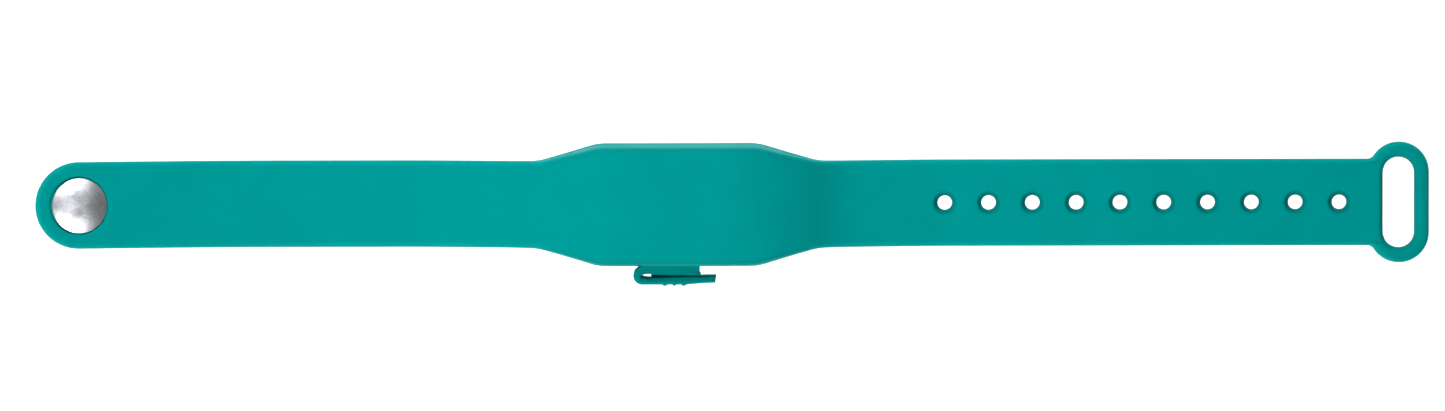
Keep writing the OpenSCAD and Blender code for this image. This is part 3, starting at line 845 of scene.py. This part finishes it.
# The end with the loop
LAST_HOLE = HOLE_FIRST + (HOLE_COUNT - 1) * HOLE_PITCH
CUT_RIGHT = LAST_HOLE + REACH
xs, holes = right_stations(RIGHT_SEAMS[6], CUT_RIGHT)
run = Loft(xs, holes)
run.cap(0)
ring = loop_end(CUT_RIGHT)
offset = len(run.verts)
loop_skin = make("strap_loop_skin", run.verts + ring.verts,
                 run.faces + [tuple(v + offset for v in f) for f in ring.faces], SILICONE)
bend_over(loop_skin, ["strap_loop"])

# ---- Pod jacket -------------------------------------------------------------------------------

CORE_LEN, CORE_W, CORE_R, GAP, ROOF = 35.0, 17.6, 5.0, 0.15, 1.4
PORT_X, PLUG_H, PLUG_REACH = -1.25, 2.5, 2.6
PLUG_LEFT, PLUG_RIGHT = PORT_X - 3.6, PORT_X + 3.4
EYE = (0.14, 0.12)  # half the opening inside the tether's bend, along x and y


def round_rect(w, h, r, count=8):
    points = []
    for cx, cy, start in ((w / 2 - r, h / 2 - r, 0), (r - w / 2, h / 2 - r, 90),
                          (r - w / 2, r - h / 2, 180), (w / 2 - r, r - h / 2, 270)):
        for k in range(count + 1):
            t = math.radians(start + 90 * k / count)
            points.append((cx + r * math.cos(t), cy + r * math.sin(t)))
    return points


def pocket():
    """The hollow that the core sits in: straight sides under a roof that follows the pod's."""
    outline = round_rect(CORE_LEN + 2 * GAP, CORE_W + 2 * GAP, CORE_R + GAP)
    verts, faces = [], []
    levels = [1.0, 0.94, 0.86, 0.74, 0.6, 0.45, 0.3, 0.15]
    n = len(outline)
    for x, y in outline:
        verts.append((x, y, -1))
    for share in levels:
        for x, y in outline:
            verts.append((x * share, y * share, roof(x * share) - ROOF))
    verts.append((0, 0, roof(0) - ROOF))
    faces.append(tuple(range(n)))
    for k in range(len(levels)):
        for i in range(n):
            j = (i + 1) % n
            faces.append((k * n + i, k * n + j, (k + 1) * n + j, (k + 1) * n + i))
    top = len(levels) * n
    faces += [(top + i, top + (i + 1) % n, len(verts) - 1) for i in range(n)]
    return make("pocket", verts, faces, SILICONE)


def port_boss():
    """The block that the stopper closes on. Its outer edge flares into a thin lip."""
    outline = [(BEND_X, WALL_Y + 1.2), (BEND_X, BEND_Y + EYE[1]), (-6.2, -12.5), (-5.7, -12.4),
               (-5.1, -12.38), (-4.6, -12.45), (-4.0, -12.54), (-1.0, -12.6), (3.95, -12.62),
               (4.08, -12.52), (4.05, -12.35), (3.86, -12.2), (3.9, WALL_Y + 1.2)]
    return prism("boss", outline, PORT_Z - FLAP_H / 2, PORT_Z + FLAP_H / 2, SILICONE)


jacket_run = Loft(steps(-JACKET_END, JACKET_END, 0.5))
jacket_run.cap(0)
jacket_run.cap(len(jacket_run.xs) - 1)
jacket = make("pod_jacket_skin", jacket_run.verts, jacket_run.faces, SILICONE)
cut(jacket, rounded(port_boss(), 0.16), "UNION")
cut(jacket, pocket())
swing = math.hypot(PLUG_RIGHT - BEND_X, PLUG_REACH)
window = prism("window", [(PLUG_LEFT - GAP, -20), (BEND_X + swing + GAP, -20), (BEND_X + swing + GAP, -5),
                          (PLUG_LEFT - GAP, -5)], PORT_Z - PLUG_H / 2 - GAP, PORT_Z + PLUG_H / 2 + GAP, SILICONE)
cut(jacket, window)
shade(jacket)
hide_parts("pod_jacket")
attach(jacket, "pod")

# ---- Port stopper and its tether --------------------------------------------------------------


def pillow(name, outline, round_r=0.36, count=5):
    """An outline of (x, y, inward normal) as tall as the stopper, with well rounded rims above and below."""
    low, high = PORT_Z - FLAP_H / 2, PORT_Z + FLAP_H / 2
    turns = [math.radians(90 * k / count) for k in range(count + 1)]
    levels = [(low + round_r * (1 - math.cos(t)), round_r * (1 - math.sin(t))) for t in turns]
    levels += [(low + high - z, d) for z, d in reversed(levels)]
    n = len(outline)
    verts = [(x + nx * d, y + ny * d, z) for z, d in levels for x, y, nx, ny in outline]
    faces = [tuple(range(n)), tuple(range(len(verts) - n, len(verts)))]
    for k in range(len(levels) - 1):
        faces += [(k * n + i, k * n + (i + 1) % n, (k + 1) * n + (i + 1) % n, (k + 1) * n + i)
                  for i in range(n)]
    return make(name, verts, faces, SILICONE)


def tether():
    """Half a ring round the bend, closed along the eye inside it."""
    outline = []
    for k in range(25):
        t = math.radians(90 + 180 * k / 24)
        c, s = math.cos(t), math.sin(t)
        free = smooth(k / 8)
        outline.append((BEND_X + BEND_R * c, BEND_Y + BEND_R * s, -c * free, -s * free))
    for k in range(17):
        t = math.radians(270 - 180 * k / 16)
        c, s = math.cos(t), math.sin(t)
        outline.append((BEND_X + EYE[0] * c, BEND_Y + EYE[1] * s, c, s))
    return pillow("flap_tether_skin", outline)


strip = tether()
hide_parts("flap_tether")
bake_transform(strip)


def lid_outline():
    """The stopper in plan: along the block, round the pull tab, and back over the three ribs."""
    low = BEND_Y - BEND_R
    above = [(BEND_X, BEND_Y - EYE[1]), (-6.2, -12.95), (-5.7, -13.04), (-5.1, -13.06), (-4.6, -13.0),
             (-4.0, -12.94), (-1.0, -12.84), (1.5, -12.77), (4.0, -12.73), (5.4, -12.69)]
    points = [(x, y, 0, -1) for x, y in above]
    points += [(6.84, -12.7, -0.8, -0.8), (6.72, -13.35, -1, 0), (6.66, -13.98, -0.8, 0.8)]
    below = [(5.4, -14.02), (4.0, -14.1), (2.6, -14.2)]
    for x, w in ((1.0, 0.5), (-0.7, 0.36), (-2.4, 0.55)):
        below += [(x + w, low), (x + w * 0.6, low - 0.14), (x + w * 0.2, low - 0.24), (x - w * 0.2, low - 0.24),
                  (x - w * 0.6, low - 0.14), (x - w, low)]
    points += [(x, y, 0, 1) for x, y in below + [(BEND_X, low)]]
    return points


lid = pillow("port_flap_skin", lid_outline())
plug = prism("plug", [(PLUG_LEFT, -13.3), (PLUG_RIGHT, -13.3), (PLUG_RIGHT, BEND_Y + PLUG_REACH),
                      (PLUG_LEFT, BEND_Y + PLUG_REACH)], PORT_Z - PLUG_H / 2, PORT_Z + PLUG_H / 2, SILICONE)
rounded(plug, 0.3)
cut(lid, plug, "UNION")
shade(lid)
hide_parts("port_flap")
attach(lid, "port_flap")

# ---- Stud cap ---------------------------------------------------------------------------------

tip_from = Vector((-LEFT_HINGES[5], 0, strap_mid(-LEFT_HINGES[5])))
stud_at = Vector((-STUD_X, 0, strap_mid(-STUD_X)))
pitch = math.atan2(stud_at.z - tip_from.z, STUD_X - LEFT_HINGES[5])
placed = Matrix.Translation(stud_at * MM) @ Matrix.Rotation(pitch, 4, "Y")

CAP_R, DOME_H, RIM = 4.95, 1.25, 0.5
dome_r = (CAP_R ** 2 + DOME_H ** 2) / (2 * DOME_H)
top = STRAP_T / 2
profile = [(0, top + DOME_H)]
edge_angle = math.asin(CAP_R / dome_r)
for k in range(1, 29):
    t = edge_angle * 0.975 * k / 28
    profile.append((dome_r * math.sin(t), top + DOME_H - dome_r * (1 - math.cos(t))))
profile += [(4.88, top + 0.045), (4.925, top - 0.01), (CAP_R, top - 0.09), (CAP_R, top - RIM),
            (1.5, top - RIM), (1.5, -0.48), (0.82, -0.48), (0.82, 0.32), (0, 0.32)]
cap = lathe("stud_cap_skin", profile, MATERIALS["stud_steel"], 128, placed, 30)
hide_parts("stud_cap")
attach(cap, "left_tip")

# ---- Floor, light and camera ------------------------------------------------------------------

ground = Nodes("floor_paper")
ground.link(ground.ramp(ground.noise(60.0, 3), [(0.3, (0.20, 0.20, 0.20)), (0.7, (0.22, 0.22, 0.22))]),
            ground.shader.inputs["Base Color"])
ground.set(Roughness=0.9, Specular_IOR_Level=0.2, Emission_Strength=1.0)
ground.shader.inputs["Emission Color"].default_value = (1, 1, 1, 1)
# Low enough that the closed band and the core pulled out of the pod stay above it
FLOOR_Z, SPAN = -80, 6000
corners = [(-SPAN, -SPAN), (SPAN, -SPAN), (SPAN, SPAN), (-SPAN, SPAN)]
floor = make("floor", [(x, y, FLOOR_Z) for x, y in corners], [(0, 1, 2, 3)], ground.finish())

# A dim pale sky lights the band. The camera itself sees plain white past the floor's edge.
world = bpy.data.worlds.new("studio")
world.use_nodes = True
bpy.context.scene.world = world
tree = world.node_tree
sky = tree.nodes["Background"]
sky.inputs["Color"].default_value = (0.97, 0.985, 1.0, 1)
sky.inputs["Strength"].default_value = 0.15
paper = tree.nodes.new("ShaderNodeBackground")
paper.inputs["Color"].default_value = (1, 1, 1, 1)
path = tree.nodes.new("ShaderNodeLightPath")
either = tree.nodes.new("ShaderNodeMixShader")
tree.links.new(path.outputs["Is Camera Ray"], either.inputs[0])
tree.links.new(sky.outputs[0], either.inputs[1])
tree.links.new(paper.outputs[0], either.inputs[2])
tree.links.new(either.outputs[0], tree.nodes["World Output"].inputs["Surface"])


def softbox(name, place, size, power, target=(0, 0, 0), spread=180):
    light = bpy.data.lights.new(name, "AREA")
    light.shape = "RECTANGLE"
    light.size, light.size_y = size
    light.energy = power
    light.spread = math.radians(spread)
    lamp = bpy.data.objects.new(name, light)
    lamp.location = place
    lamp.visible_camera = False
    aim = Vector(target) - Vector(place)
    lamp.rotation_euler = aim.to_track_quat("-Z", "Y").to_euler()
    bpy.context.scene.collection.objects.link(lamp)


# Two long softboxes beyond the band's sides, towards its stud end, and a weak one overhead
for box, y, power in (("softbox_far", 0.72, 1.42), ("softbox_near", -0.72, 1.35)):
    softbox(box, (-0.22, y, 0.60), (0.55, 0.5), power, (-0.035, 0, 0), 36)
softbox("fill_over", (0.0, 0.05, 1.2), (0.5, 0.5), 1.0)

camera = bpy.data.cameras.new("camera")
camera.sensor_width = 36
camera.lens = 416.5
camera.clip_start, camera.clip_end = 0.1, 40
viewer = bpy.data.objects.new("camera", camera)
TILT, TURN, DISTANCE = math.radians(3.5), math.radians(-0.10), 3.0
aim_at = Vector((0.00796, -0.0004, 0.002))
away = (-math.sin(TURN) * math.sin(TILT), math.cos(TURN) * math.sin(TILT), math.cos(TILT))
viewer.location = aim_at + DISTANCE * Vector(away)
viewer.rotation_euler = (-TILT, 0, TURN)
bpy.context.scene.collection.objects.link(viewer)
bpy.context.scene.camera = viewer
bpy.context.scene.view_settings.view_transform = "Standard"
